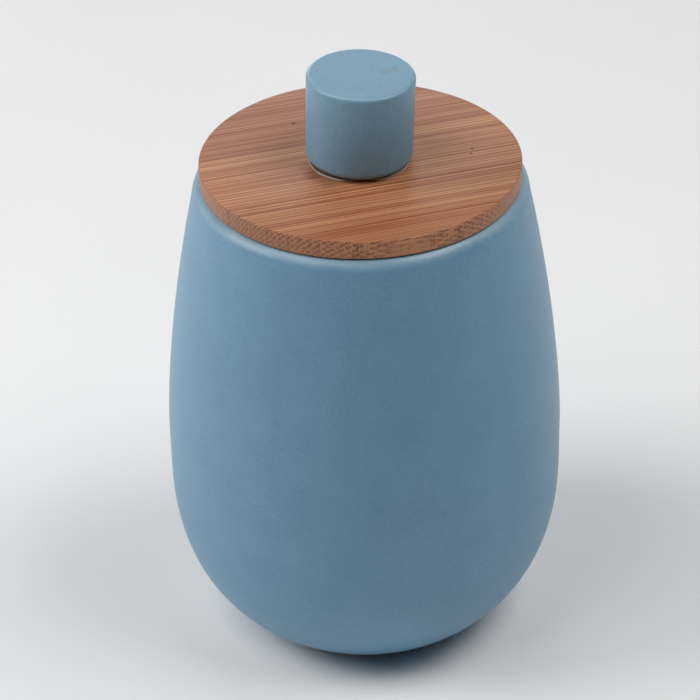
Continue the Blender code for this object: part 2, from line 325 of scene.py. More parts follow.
def grainSpace(tree, place, look, faceHeight):
    # millimetres along the grain, across it, and up from the face, with the grain's own drift
    straight = addNode(tree, "ShaderNodeMapping", {}, {
        "Vector": place, "Location": (0, 0, -faceHeight), "Scale": (1 / mm,) * 3,
        "Rotation": (0, 0, -math.radians(look["grainAngle"]))})
    slow = addNode(tree, "ShaderNodeVectorMath", {"operation": "MULTIPLY"}, {
        0: straight.outputs["Vector"], 1: streakScale(look["wanderLength"], look["wanderWidth"])})
    drift = addNode(tree, "ShaderNodeTexNoise", {}, {
        "Vector": slow.outputs["Vector"], "Scale": 1.0, "Detail": 1.0})
    centred = addNode(tree, "ShaderNodeVectorMath", {"operation": "SUBTRACT"}, {
        0: drift.outputs["Color"], 1: (0.5, 0.5, 0.5)})
    drifted = addNode(tree, "ShaderNodeVectorMath", {"operation": "MULTIPLY_ADD"}, {
        0: centred.outputs["Vector"], 1: look["wander"], 2: straight.outputs["Vector"]})
    parts = addNode(tree, "ShaderNodeSeparateXYZ", {}, {0: drifted.outputs["Vector"]})
    fromMiddle = addNode(tree, "ShaderNodeMath", {"operation": "ABSOLUTE"}, {
        0: parts.outputs["X"]})
    return {"vector": drifted.outputs["Vector"], "along": parts.outputs["X"],
            "fromMiddle": fromMiddle.outputs["Value"], "across": parts.outputs["Y"],
            "up": parts.outputs["Z"]}


def gluedStrips(tree, grain, look):
    # the board is glued from strips side by side: a strip's number, its tone and the joint
    stripPlace = addNode(tree, "ShaderNodeMath", {"operation": "MULTIPLY_ADD"}, {
        0: grain["across"], 1: 1 / look["stripWidth"],
        2: -look["jointAcross"] / look["stripWidth"]})
    strip = addNode(tree, "ShaderNodeMath", {"operation": "FLOOR"}, {
        0: stripPlace.outputs["Value"]})
    toJoint = addNode(tree, "ShaderNodeMath", {"operation": "PINGPONG"}, {
        0: stripPlace.outputs["Value"], 1: 0.5})
    joint = addNode(tree, "ShaderNodeMapRange", {}, {
        "Value": toJoint.outputs["Value"], "From Min": 0.0,
        "From Max": look["jointHalfWidth"] / look["stripWidth"],
        "To Min": look["jointStrength"], "To Max": 0.0})
    tones = look["stripTones"]
    # strips count from -1, and the ramp is read in the middle of each tone
    whichTone = addNode(tree, "ShaderNodeMath", {"operation": "MULTIPLY_ADD"}, {
        0: strip.outputs["Value"], 1: 1 / len(tones), 2: 1.5 / len(tones)})
    tone = addNode(tree, "ShaderNodeValToRGB", {
        "rampMode": "CONSTANT", "stops": [(n / len(tones), hue) for n, hue in enumerate(tones)]},
        {"Fac": whichTone.outputs["Value"]})
    return strip.outputs["Value"], tone.outputs["Color"], joint.outputs["Result"]


def bundleMarks(tree, grain, strip, look):
    # bundles stand in staggered rows: in skewed steps they are a plain jittered grid
    row = addNode(tree, "ShaderNodeMath", {"operation": "DIVIDE"}, {
        0: grain["up"], 1: look["bundleDeep"]})
    step = addNode(tree, "ShaderNodeMath", {"operation": "DIVIDE"}, {
        0: grain["across"], 1: look["bundleAcross"]})
    skewed = addNode(tree, "ShaderNodeMath", {"operation": "MULTIPLY_ADD"}, {
        0: row.outputs["Value"], 1: look["rowShift"], 2: step.outputs["Value"]})
    lattice = addNode(tree, "ShaderNodeCombineXYZ", {}, {
        0: skewed.outputs["Value"], 1: row.outputs["Value"]})
    # each strip comes from another part of the culm, so its bundles don't line up
    shifted = addNode(tree, "ShaderNodeVectorMath", {"operation": "MULTIPLY_ADD"}, {
        0: strip, 1: look["stripShift"], 2: lattice.outputs["Vector"]})
    cells = addNode(tree, "ShaderNodeTexVoronoi", {"voronoi_dimensions": "2D"}, {
        "Vector": shifted.outputs["Vector"], "Scale": 1.0, "Randomness": look["scatter"]})
    away = addNode(tree, "ShaderNodeVectorMath", {"operation": "SUBTRACT"}, {
        0: shifted.outputs["Vector"], 1: cells.outputs["Position"]})
    offset = addNode(tree, "ShaderNodeSeparateXYZ", {}, {0: away.outputs["Vector"]})
    # back to true distances, in half widths and half heights of a bundle that leans a little
    unskewed = addNode(tree, "ShaderNodeMath", {"operation": "MULTIPLY_ADD"}, {
        0: offset.outputs["Y"], 1: look["bundleTilt"] - look["rowShift"], 2: offset.outputs["X"]})
    sideways = addNode(tree, "ShaderNodeMath", {"operation": "MULTIPLY"}, {
        0: unskewed.outputs["Value"], 1: look["bundleAcross"] / look["bundleHalfWidth"]})
    upwards = addNode(tree, "ShaderNodeMath", {"operation": "MULTIPLY"}, {
        0: offset.outputs["Y"], 1: look["bundleDeep"] / look["bundleHalfHeight"]})
    spot = addNode(tree, "ShaderNodeCombineXYZ", {}, {
        0: sideways.outputs["Value"], 1: upwards.outputs["Value"]})
    reach = addNode(tree, "ShaderNodeVectorMath", {"operation": "LENGTH"}, {
        0: spot.outputs["Vector"]})
    ring = addNode(tree, "ShaderNodeValToRGB", {"stops": look["sheath"]}, {
        "Fac": reach.outputs["Value"]})
    weight = addNode(tree, "ShaderNodeMapRange", {}, {
        "Value": upwards.outputs["Value"], "From Min": look["heavyAt"],
        "From Max": look["lightAt"], "To Min": look["heavy"], "To Max": look["light"]})
    kind = addNode(tree, "ShaderNodeSeparateXYZ", {}, {0: cells.outputs["Color"]})
    strength = addNode(tree, "ShaderNodeMapRange", {}, {
        "Value": kind.outputs["X"], "To Min": look["faintest"], "To Max": 1.0})
    marks = ring.outputs["Color"]
    for factor in (weight, strength):
        marks = addNode(tree, "ShaderNodeMath", {"operation": "MULTIPLY"}, {
            0: marks, 1: factor.outputs["Result"]}).outputs["Value"]
    return marks


def longFibres(tree, grain, look):
    # dark fibres come in clusters, with pale, even wood between, and are redder than it
    longBand = addNode(tree, "ShaderNodeVectorMath", {"operation": "MULTIPLY"}, {
        0: grain["vector"], 1: streakScale(look["bandLength"], look["bandWidth"])})
    bands = addNode(tree, "ShaderNodeTexNoise", {"noise_dimensions": "4D"}, {
        "Vector": longBand.outputs["Vector"], "W": look["bandCut"], "Scale": 1.0,
        "Detail": 3.0, "Roughness": 0.65})
    longFibre = addNode(tree, "ShaderNodeVectorMath", {"operation": "MULTIPLY"}, {
        0: grain["vector"], 1: streakScale(look["fibreLength"], look["fibreWidth"])})
    fibres = addNode(tree, "ShaderNodeTexNoise", {"noise_dimensions": "4D"}, {
        "Vector": longFibre.outputs["Vector"], "W": look["fibreCut"], "Scale": 1.0,
        "Detail": 1.5, "Roughness": 0.55})
    clustered = addNode(tree, "ShaderNodeMath", {"operation": "MULTIPLY_ADD"}, {
        0: bands.outputs["Fac"], 1: look["bandWeight"], 2: fibres.outputs["Fac"]})
    tone = addNode(tree, "ShaderNodeValToRGB", {"stops": [
        (look["darkAt"], look["darkFibre"]), (look["paleAt"], look["paleFibre"])]}, {
        "Fac": clustered.outputs["Value"]})
    return bands.outputs["Fac"], fibres.outputs["Fac"], tone.outputs["Color"]


def bundlesShown(tree, grain, edge, look, edgeRadius):
    # how plainly the bundles show on the face, on the edge, and round it
    cutAcross = addNode(tree, "ShaderNodeMapRange", {"interpolation_type": "SMOOTHSTEP"}, {
        "Value": grain["fromMiddle"], "From Min": look["alongFrom"] * edgeRadius,
        "From Max": look["alongTo"] * edgeRadius, "To Min": look["shownAlong"], "To Max": 1.0})
    offCentre = addNode(tree, "ShaderNodeMath", {"operation": "ADD"}, {
        0: grain["along"], 1: look["endShift"] * edgeRadius})
    toEnd = addNode(tree, "ShaderNodeMath", {"operation": "ABSOLUTE"}, {
        0: offCentre.outputs["Value"]})
    closed = addNode(tree, "ShaderNodeMapRange", {"interpolation_type": "SMOOTHSTEP"}, {
        "Value": toEnd.outputs["Value"], "From Min": look["endFrom"] * edgeRadius,
        "From Max": look["endTo"] * edgeRadius, "To Min": 1.0, "To Max": look["shownAtEnd"]})
    onEdge = addNode(tree, "ShaderNodeMath", {"operation": "MULTIPLY"}, {
        0: cutAcross.outputs["Result"], 1: closed.outputs["Result"]})
    shown = addNode(tree, "ShaderNodeMapRange", {}, {
        "Value": edge, "To Min": look["shownOnFace"], "To Max": onEdge.outputs["Value"]})
    return shown.outputs["Result"]


def edgeDashes(tree, grain, edge, look, edgeRadius):
    # where the cut goes along the bundles, they are short dashes instead
    dashPlace = addNode(tree, "ShaderNodeVectorMath", {"operation": "MULTIPLY"}, {
        0: grain["vector"], 1: tuple(1 / size for size in look["dashSize"])})
    dashes = addNode(tree, "ShaderNodeTexNoise", {}, {
        "Vector": dashPlace.outputs["Vector"], "Scale": 1.0, "Detail": 1.0})
    dash = addNode(tree, "ShaderNodeMapRange", {}, {
        "Value": dashes.outputs["Fac"], "From Min": look["dashFrom"], "From Max": look["dashTo"],
        "To Min": 0.0, "To Max": look["dashStrength"]})
    harder = addNode(tree, "ShaderNodeMapRange", {}, {
        "Value": grain["up"], "From Min": look["dashLow"], "From Max": look["dashHigh"]})
    alongCut = addNode(tree, "ShaderNodeMapRange", {}, {
        "Value": grain["fromMiddle"], "From Min": look["dashNear"] * edgeRadius,
        "From Max": look["dashFar"] * edgeRadius, "To Min": 1.0, "To Max": 0.0})
    amount = edge
    for factor in (harder, alongCut, dash):
        amount = addNode(tree, "ShaderNodeMath", {"operation": "MULTIPLY"}, {
            0: amount, 1: factor.outputs["Result"]}).outputs["Value"]
    return amount


def edgeScratches(tree, flat, edge, look, edgeRadius):
    # upright scratches from sanding the edge on the lathe
    flatParts = addNode(tree, "ShaderNodeSeparateXYZ", {}, {0: flat})
    bearing = addNode(tree, "ShaderNodeMath", {"operation": "ARCTAN2"}, {
        0: flatParts.outputs["Y"], 1: flatParts.outputs["X"]})
    scratches = addNode(tree, "ShaderNodeTexNoise", {"noise_dimensions": "1D"}, {
        "W": bearing.outputs["Value"], "Scale": edgeRadius / look["scratchSpacing"],
        "Detail": 1.0})
    scratch = addNode(tree, "ShaderNodeMapRange", {}, {
        "Value": scratches.outputs["Fac"], "From Min": look["scratchFrom"],
        "From Max": look["scratchTo"], "To Min": 0.0, "To Max": look["scratchStrength"]})
    onEdge = addNode(tree, "ShaderNodeMath", {"operation": "MULTIPLY"}, {
        0: scratch.outputs["Result"], 1: edge})
    return onEdge.outputs["Value"]


def makeBamboo(name, look, faceHeight, edgeRadius):
    material, tree, shader = startMaterial(name)
    place = addNode(tree, "ShaderNodeTexCoord").outputs["Object"]
    grain = grainSpace(tree, place, look, faceHeight)
    strip, stripTone, joint = gluedStrips(tree, grain, look)
    marks = bundleMarks(tree, grain, strip, look)
    bands, fibres, tone = longFibres(tree, grain, look)

    # the turned edge, darkest where the fibres are cut across and soak up the oil
    flat = addNode(tree, "ShaderNodeVectorMath", {"operation": "MULTIPLY"}, {
        0: place, 1: (1.0, 1.0, 0.0)})
    reach = addNode(tree, "ShaderNodeVectorMath", {"operation": "LENGTH"}, {
        0: flat.outputs["Vector"]})
    edge = addNode(tree, "ShaderNodeMapRange", {}, {
        "Value": reach.outputs["Value"], "From Min": (edgeRadius - look["edgeStart"]) * mm,
        "From Max": (edgeRadius - look["edgeFull"]) * mm}).outputs["Result"]
    soaked = addNode(tree, "ShaderNodeMath", {"operation": "MULTIPLY"}, {
        0: edge, 1: look["edgeSoak"]})
    endGrain = addNode(tree, "ShaderNodeMapRange", {}, {
        "Value": grain["fromMiddle"], "From Min": 0.0, "From Max": edgeRadius})
    edgeTone = addNode(tree, "ShaderNodeMix", {"data_type": "RGBA"}, {
        0: endGrain.outputs["Result"], mixA: linearColour(look["edgeAlong"]),
        mixB: linearColour(look["edgeAcross"])})
    edged = addNode(tree, "ShaderNodeMix", {"data_type": "RGBA"}, {
        0: soaked.outputs["Value"], mixA: tone, mixB: edgeTone.outputs[mixOut]})
    toned = addNode(tree, "ShaderNodeMix", {"data_type": "RGBA", "blend_type": "MULTIPLY"}, {
        0: 1.0, mixA: edged.outputs[mixOut], mixB: stripTone})

    depthFade = addNode(tree, "ShaderNodeMapRange", {}, {
        "Value": grain["up"], "From Min": look["deepest"], "From Max": 0.0,
        "To Min": look["darkDeep"], "To Max": look["darkNear"]})
    faded = addNode(tree, "ShaderNodeMath", {"operation": "MULTIPLY"}, {
        0: marks, 1: depthFade.outputs["Result"]})
    # the glue line breaks up where fibres tore beside it
    torn = addNode(tree, "ShaderNodeMath", {"operation": "MULTIPLY"}, {0: joint, 1: fibres})
    bundles = addNode(tree, "ShaderNodeMath", {"operation": "MULTIPLY_ADD", "use_clamp": True}, {
        0: faded.outputs["Value"], 1: bundlesShown(tree, grain, edge, look, edgeRadius),
        2: torn.outputs["Value"]})
    # painted shadow of the knob, darkening the wood beside its foot
    paintedKnobShadow = addNode(tree, "ShaderNodeMath", {"operation": "MULTIPLY"}, {
        0: makeSpots(tree, place, look["knobShadowSpots"], look["grainAngle"], faceHeight),
        1: look["knobShadowStrength"]})
    colour = toned.outputs[mixOut]
    for amount, over in (
            (bundles.outputs["Value"], "bundle"),
            (edgeDashes(tree, grain, edge, look, edgeRadius), "dash"),
            (edgeScratches(tree, flat.outputs["Vector"], edge, look, edgeRadius), "bundle"),
            (paintedKnobShadow.outputs["Value"], "knobShadow"),
            (makeSpots(tree, place, look["pores"], look["grainAngle"], faceHeight), "pore")):
        colour = addNode(tree, "ShaderNodeMix", {"data_type": "RGBA"}, {
            0: amount, mixA: colour, mixB: linearColour(look[over])}).outputs[mixOut]

    relief = addNode(tree, "ShaderNodeMath", {"operation": "MULTIPLY_ADD"}, {
        0: marks, 1: -look["bundleSink"], 2: fibres})
    bump = addNode(tree, "ShaderNodeBump", {}, {
        "Height": relief.outputs["Value"], "Strength": look["reliefStrength"],
        "Distance": look["reliefDepth"] * mm})
    rough = addNode(tree, "ShaderNodeMapRange", {}, {
        "Value": bands, "To Min": look["roughness"] - look["roughnessSpread"],
        "To Max": look["roughness"] + look["roughnessSpread"]})
    tree.links.new(colour, shader.inputs["Base Color"])
    tree.links.new(rough.outputs["Result"], shader.inputs["Roughness"])
    tree.links.new(bump.outputs["Normal"], shader.inputs["Normal"])
    return material


# Silicone: moulded in one piece, milky, soft-sheened where the steel mould was polished.
siliconeLook = {
    "dull": "D5D8D6", "dullAt": 0.3, "milky": "E9EBE9", "milkyAt": 0.7, "hazeSize": 3.0,
    "smooth": 0.28, "rough": 0.42, "ior": 1.41, "clearness": 0.35,
}


def makeSilicone(look):
    material, tree, shader = startMaterial("Moulded translucent silicone")
    place = addNode(tree, "ShaderNodeTexCoord").outputs["Object"]
    haze = addNode(tree, "ShaderNodeTexNoise", {}, {
        "Vector": place, "Scale": 1 / (look["hazeSize"] * mm), "Detail": 2.0})
    tone = addNode(tree, "ShaderNodeValToRGB", {"stops": [
        (look["dullAt"], look["dull"]), (look["milkyAt"], look["milky"])]}, {
        "Fac": haze.outputs["Fac"]})
    rough = addNode(tree, "ShaderNodeMapRange", {}, {
        "Value": haze.outputs["Fac"], "To Min": look["smooth"], "To Max": look["rough"]})
    tree.links.new(tone.outputs["Color"], shader.inputs["Base Color"])
    tree.links.new(rough.outputs["Result"], shader.inputs["Roughness"])
    shader.inputs["IOR"].default_value = look["ior"]
    shader.inputs["Transmission Weight"].default_value = look["clearness"]
    return material


# Glue: a bead of clear two-part resin, squeezed out as the knob was pressed down. Wet-looking,
# tinted amber and darkened with painted shade from the knob, and a painted highlight on its toe.
glueLook = {
    # the brown is partly the resin's amber tint and partly painted shade from the knob above
    "deep": "9C7A62", "deepAt": 0.3, "light": "AB8A72", "lightAt": 0.7, "clearness": 0.6,
    # painted highlight: the toe's pale, less clear colour
    "cloudAndToeGlint": "D9DADC", "glintClearness": 0.1,
    "rippleSize": 2.5, "rippleDepth": 0.03, "rippleStrength": 0.1, "roughness": 0.12, "ior": 1.47,
}


def makeGlue(look):
    material, tree, shader = startMaterial("Clear set resin glue")
    place = addNode(tree, "ShaderNodeTexCoord").outputs["Object"]
    ripple = addNode(tree, "ShaderNodeTexNoise", {}, {
        "Vector": place, "Scale": 1 / (look["rippleSize"] * mm), "Detail": 1.0})
    tone = addNode(tree, "ShaderNodeValToRGB", {"stops": [
        (look["deepAt"], look["deep"]), (look["lightAt"], look["light"])]}, {
        "Fac": ripple.outputs["Fac"]})
    # painted highlight along the toe, paler and less clear where the bead's vertices carry it
    toe = addNode(tree, "ShaderNodeAttribute", {"attribute_name": "paleToe"})
    colour = addNode(tree, "ShaderNodeMix", {"data_type": "RGBA"}, {
        0: toe.outputs["Fac"], mixA: tone.outputs["Color"], mixB: linearColour(look["cloudAndToeGlint"])})
    clear = addNode(tree, "ShaderNodeMapRange", {}, {
        "Value": toe.outputs["Fac"], "To Min": look["clearness"],
        "To Max": look["glintClearness"]})
    bump = addNode(tree, "ShaderNodeBump", {}, {
        "Height": ripple.outputs["Fac"], "Strength": look["rippleStrength"],
        "Distance": look["rippleDepth"] * mm})
    tree.links.new(colour.outputs[mixOut], shader.inputs["Base Color"])
    tree.links.new(clear.outputs["Result"], shader.inputs["Transmission Weight"])
    tree.links.new(bump.outputs["Normal"], shader.inputs["Normal"])
    shader.inputs["Roughness"].default_value = look["roughness"]
    shader.inputs["IOR"].default_value = look["ior"]
    return material


lidBox = box("lid_disc")
plugBox = box("lid_plug")
glaze = makeGlaze("Satin glazed stoneware", glazeLook)
knobGlaze = makeGlaze("Satin glazed stoneware knob", knobGlazeLook)
clay = makeClay(clayLook)
discBamboo = makeBamboo("Turned carbonised bamboo disc", bambooLook, lidBox["top"],
                        lidBox["radius"])
plugBamboo = makeBamboo("Turned carbonised bamboo plug", dict(bambooLook, pores=(), knobShadowSpots=()),
                        plugBox["bottom"], plugBox["radius"])
silicone = makeSilicone(siliconeLook)
glue = makeGlue(glueLook)
print("materials made")


# Jar body: slip-cast, glazed inside and out, its foot ring wiped bare.
jar = {
    "bellyHeight": 45.5, "lowerDepth": 51.5, "lowerPower": 2.40,
    "shoulderHeight": 56.2, "upperRise": 160.0, "upperPower": 1.54,
    "rimRounding": 4.0, "mouthRounding": 1.0, "mouthRadius": 36.0,
    "landBottom": 115.0, "blendBottom": 100.0,
    "wall": 4.6, "floorHeight": 7.0, "floorPower": 3.40,
    "footOuter": 27.8, "footInner": 23.6, "footEdge": 0.4, "recess": 2.0, "recessRounding": 1.6,
    "bareInner": 22.8, "bareOuter": 31.0, "bareHeight": 1.0,
    "castFrom": 30.0, "cast": {"depth": 0.10, "wavesPerMetre": 22},
    # paler on the rim's rounding: thin glaze, and partly a painted highlight
    "thinRimAndHighlight": {"strength": 0.8, "peak": 66, "spread": 44},
    "facets": {"rim": 12, "upper": 28, "lower": 40, "recess": 6, "floor": 30, "wall": 12,
               "mouth": 6},
    "steps": 192,
}
seatClosing = 0.13  # the frame holds lid and rim 0.3 mm apart, and each side closes this much


def quarter(radius, centreZ, height, power, start, end, count):
    # a quarter superellipse; the angle runs from 0, level with its centre, to 90
    points = []
    for step in range(count + 1):
        angle = math.radians(start + (end - start) * step / count)
        across = max(math.cos(angle), 0.0) ** (2 / power)
        along = max(math.sin(angle), 0.0) ** (2 / power)
        points.append((radius * across, centreZ + height * along))
    return points


def makeJar(size):
    whole = box("jar_body")
    belly = whole["radius"]
    rimTop = whole["top"] + seatClosing
    shoulder, blendBottom = size["shoulderHeight"], size["blendBottom"]
    facets = size["facets"]

    def outside(z):
        rise = max(z - shoulder, 0.0) / size["upperRise"]
        return belly * (1 - rise ** size["upperPower"]) ** (1 / size["upperPower"])

    def angleAt(share, power):
        return math.degrees(math.asin(share ** (power / 2)))

    rimZ = rimTop - size["rimRounding"]
    slopeStep = 1.0
    lean = math.atan((outside(rimZ - slopeStep) - outside(rimZ + slopeStep)) / (2 * slopeStep))
    rimR = outside(rimZ) - size["rimRounding"] / math.cos(lean)
    wallTop = rimZ + size["rimRounding"] * math.sin(lean)
    rim = arc(rimR, rimZ, size["rimRounding"], 90, math.degrees(lean), facets["rim"])
    upperAngle = angleAt((wallTop - shoulder) / size["upperRise"], size["upperPower"])
    upper = quarter(belly, shoulder, size["upperRise"], size["upperPower"],
                    upperAngle, 0, facets["upper"])
    lowerAngle = angleAt((size["bellyHeight"] - size["footEdge"]) / size["lowerDepth"],
                         size["lowerPower"])
    lower = quarter(belly, size["bellyHeight"], -size["lowerDepth"], size["lowerPower"],
                    0, lowerAngle, facets["lower"])
    foot = [(size["footOuter"], 0.0), (size["footInner"], 0.0)]
    recess = arc(size["footInner"] - size["recessRounding"],
                 size["recess"] - size["recessRounding"], size["recessRounding"],
                 0, 90, facets["recess"])
    outer = rim + upper[1:] + lower + foot + recess + [(0.0, size["recess"])]

    floor = quarter(belly - size["wall"], size["bellyHeight"],
                    size["floorHeight"] - size["bellyHeight"], size["floorPower"],
                    90, 0, facets["floor"])
    wall = []
    for step in range(facets["wall"] + 1):
        z = shoulder + (blendBottom - shoulder) * step / facets["wall"]
        wall.append((outside(z) - size["wall"], z))
    blend = []
    for step in range(1, facets["wall"] + 1):
        share = step / facets["wall"]
        z = blendBottom + (size["landBottom"] - blendBottom) * share
        radius = (outside(z) - size["wall"]) * (1 - ease(share)) + size["mouthRadius"] * ease(share)
        blend.append((radius, z))
    mouth = arc(size["mouthRadius"] + size["mouthRounding"], rimTop - size["mouthRounding"],
                size["mouthRounding"], 180, 90, facets["mouth"])
    bm = turn(floor + wall + blend + mouth + outer, size["steps"])
    thinGlazeAndHighlightOverEdge(bm, rimR, rimZ, size["rimRounding"], size["thinRimAndHighlight"])
    castUnevenly(bm, size["cast"], size["castFrom"], size["footEdge"], rimZ)
    for face in bm.faces:
        middle = face.calc_center_median() / mm
        bare = middle.z < size["bareHeight"]
        if bare and size["bareInner"] < middle.to_2d().length < size["bareOuter"]:
            face.material_index = 1
    return finishPiece(bm, "glazed_jar", [glaze, clay], "jar", "jar_body")


makeJar(jar)


# Lid disc: one ply of bamboo, turned round, its edges just broken with abrasive.
disc = {"topEase": 0.25, "topFacets": 5, "bottomEase": 0.2, "bottomFacets": 4, "ringAt": 0.5,
        "sharpAngle": 30, "steps": 192}


def makeDisc(size):
    whole = box("lid_disc")
    radius, top, bottom = whole["radius"], whole["top"], whole["bottom"] - seatClosing
    outline = [(0.0, top), (radius * size["ringAt"], top)]
    outline += arc(radius - size["topEase"], top - size["topEase"], size["topEase"],
                   90, 0, size["topFacets"])
    outline += arc(radius - size["bottomEase"], bottom + size["bottomEase"],
                   size["bottomEase"], 0, -90, size["bottomFacets"])
    outline += [(radius * size["ringAt"], bottom), (0.0, bottom)]
    bm = turn(outline, size["steps"])
    return finishPiece(bm, "bamboo_disc", [discBamboo], "lid", "lid_disc",
                       size["sharpAngle"])


makeDisc(disc)


# Lid plug: a smaller bamboo board glued under the disc, grooved for the seal.
plug = {"grooveDepth": 2.2, "grooveHeight": 4.2, "grooveMiddle": 4.5, "chamfer": 1.0,
        "glueGap": 0.02, "edgeBreak": 0.15, "sharpAngle": 30, "steps": 160}


def makePlug(size):
    whole = box("lid_plug")
    radius, bottom = whole["radius"], whole["bottom"]
    top = box("lid_disc")["bottom"] - seatClosing - size["glueGap"]
    low = bottom + size["grooveMiddle"] - size["grooveHeight"] / 2
    high = low + size["grooveHeight"]
    outline = [(0.0, top), (radius, top), (radius, high), (radius - size["grooveDepth"], high),
               (radius - size["grooveDepth"], low), (radius, low),
               (radius, bottom + size["chamfer"]), (radius - size["chamfer"], bottom),
               (0.0, bottom)]
    bm = turn(outline, size["steps"])
    bends = [e for e in bm.edges if e.is_manifold
             and e.calc_face_angle() > math.radians(size["sharpAngle"])]
    bmesh.ops.bevel(bm, geom=bends, offset=size["edgeBreak"] * mm, affect="EDGES", segments=2,
                    profile=0.5, material=-1)
    return finishPiece(bm, "bamboo_plug", [plugBamboo], "lid", "lid_plug",
                       size["sharpAngle"])


makePlug(plug)


# Seal: a ring with two lips that the mouth sweeps upwards.
seal = {"innerRadius": 32.7, "height": 3.6, "lips": 2, "pitch": 1.8, "root": 1.0, "tip": 0.4,
        "sweep": 0.8, "bodyInset": 1.2, "noseFrom": 100, "noseTo": -70, "noseFacets": 5,
        "sharpAngle": 35, "steps": 160}


def makeSeal(size):
    whole = box("seal_ring")
    tipR, low = whole["radius"], whole["bottom"]
    high = low + size["height"]
    bodyR = tipR - size["bodyInset"]
    middle = (low + high) / 2
    outline = [(size["innerRadius"], high), (bodyR, high)]
    for lip in range(size["lips"]):
        rootZ = middle + size["pitch"] * ((size["lips"] - 1) / 2 - lip)
        tipZ = rootZ + size["sweep"]
        outline += [(bodyR, rootZ + size["root"] / 2)]
        outline += arc(tipR - size["tip"] / 2, tipZ, size["tip"] / 2,
                       size["noseFrom"], size["noseTo"], size["noseFacets"])
        outline += [(bodyR, rootZ - size["root"] / 2)]
    outline += [(bodyR, low), (size["innerRadius"], low)]
    bm = turn(outline, size["steps"], closed=True)
    return finishPiece(bm, "silicone_seal", [silicone], "lid", "seal_ring",
                       size["sharpAngle"])


makeSeal(seal)


# Knob: a short cast cylinder with a little draft, hollow below, glazed all but its foot. It was
# glued on by hand, left of the middle, and leans a little to the right and towards the front.
knob = {
    "topRounding": 0.95, "topRing": 0.45, "topFlatInset": 0.3,
    "footRounding": 1.7, "footRadius": 13.06,
    "hollowRadius": 7.0, "hollowEnd": 6.3, "hollowDepth": 15.0, "hollowRounding": 3.5,
    "bareHeight": 0.15, "bareRadius": 7.2, "crown": 1.0,
    "castFrom": 10.5, "castAbove": 0.5, "cast": {"depth": 0.06, "wavesPerMetre": 60},
    # paler on the knob's top edge: thin glaze, and partly a painted highlight
    "thinEdgeAndHighlight": {"strength": 1.0, "peak": 66, "spread": 24},
    "leanRight": 2.0, "leanForward": 0.7, "shortened": 0.28, "offMiddle": -0.27,
    "edgeFacets": 10, "sideRows": 12, "hollowFacets": 6, "steps": 128,
}


def makeKnob(size):
    whole = box("knob")
    radius, top, bottom = whole["radius"], whole["top"] - size["shortened"], whole["bottom"]
    flatR = radius - size["topRounding"]
    sideTop, sideBottom = top - size["topRounding"], bottom + size["footRounding"]
    outline = [(0.0, top), (radius * size["topRing"], top), (flatR - size["topFlatInset"], top)]
    outline += arc(flatR, sideTop, size["topRounding"], 90, 0, size["edgeFacets"])
    for step in range(1, size["sideRows"]):
        share = step / size["sideRows"]
        outline.append((radius + (size["footRadius"] - radius) * share,
                        sideTop + (sideBottom - sideTop) * share))
    outline += arc(size["footRadius"] - size["footRounding"], sideBottom,
                   size["footRounding"], 0, -90, size["edgeFacets"])
    outline.append((size["hollowRadius"], bottom))
    hollowTop = bottom + size["hollowDepth"]
    outline += arc(size["hollowEnd"] - size["hollowRounding"],
                   hollowTop - size["hollowRounding"], size["hollowRounding"],
                   0, 90, size["hollowFacets"])
    outline.append((0.0, hollowTop))
    bm = turn(outline, size["steps"])
    thinGlazeAndHighlightOverEdge(bm, flatR, sideTop, size["topRounding"], size["thinEdgeAndHighlight"])
    castUnevenly(bm, size["cast"], size["castFrom"], bottom + size["castAbove"])
    for face in bm.faces:
        middle = face.calc_center_median() / mm
        inFoot = middle.z < bottom + size["bareHeight"]
        inHollow = middle.to_2d().length < size["bareRadius"] and middle.z < hollowTop + size["crown"]
        face.material_index = 1 if inFoot or inHollow else 0
    lean = Euler((math.radians(size["leanForward"]), math.radians(size["leanRight"]), 0))
    bmesh.ops.rotate(bm, verts=bm.verts, cent=(0, 0, bottom * mm), matrix=lean.to_matrix())
    bmesh.ops.translate(bm, verts=bm.verts, vec=(size["offMiddle"] * mm, 0, 0))
    return finishPiece(bm, "glazed_knob", [knobGlaze, clay], "lid", "knob")


makeKnob(knob)


# Glue bead: squeezed out unevenly round the knob's foot, furthest at the left and least in
# front. Its toe is rounded on the wood, its top is hollowed up to the glazed foot, and a
# painted highlight gives the toe a pale line in places.
bead = {
    "innerRadius": 8.4, "flatRadius": 10.6, "toeRounding": 0.24, "toeUnderside": 0.08,
    "glueGap": 0.02, "topRows": 8, "toeFacets": 10, "toeTo": -20,
    # how far it came out, and how strong the painted highlight on its toe is, at even bearings from
    # +X
    "reaches": (12.2, 12.2, 12.2, 12.2, 12.3, 12.4, 12.5, 12.5, 12.1, 10.9, 11.9, 12.2),
    "toeGlints": (0.3, 0.6, 0.8, 0.4, 0.8, 0.6, 0.5, 0.5, 0.8, 0.3, 0.9, 0.7),
    "paleFrom": 0.3, "paleTo": 0.6,  # shares of the toe
    "unevenness": 0.08, "unevenRate": 9.0, "steps": 240,
}


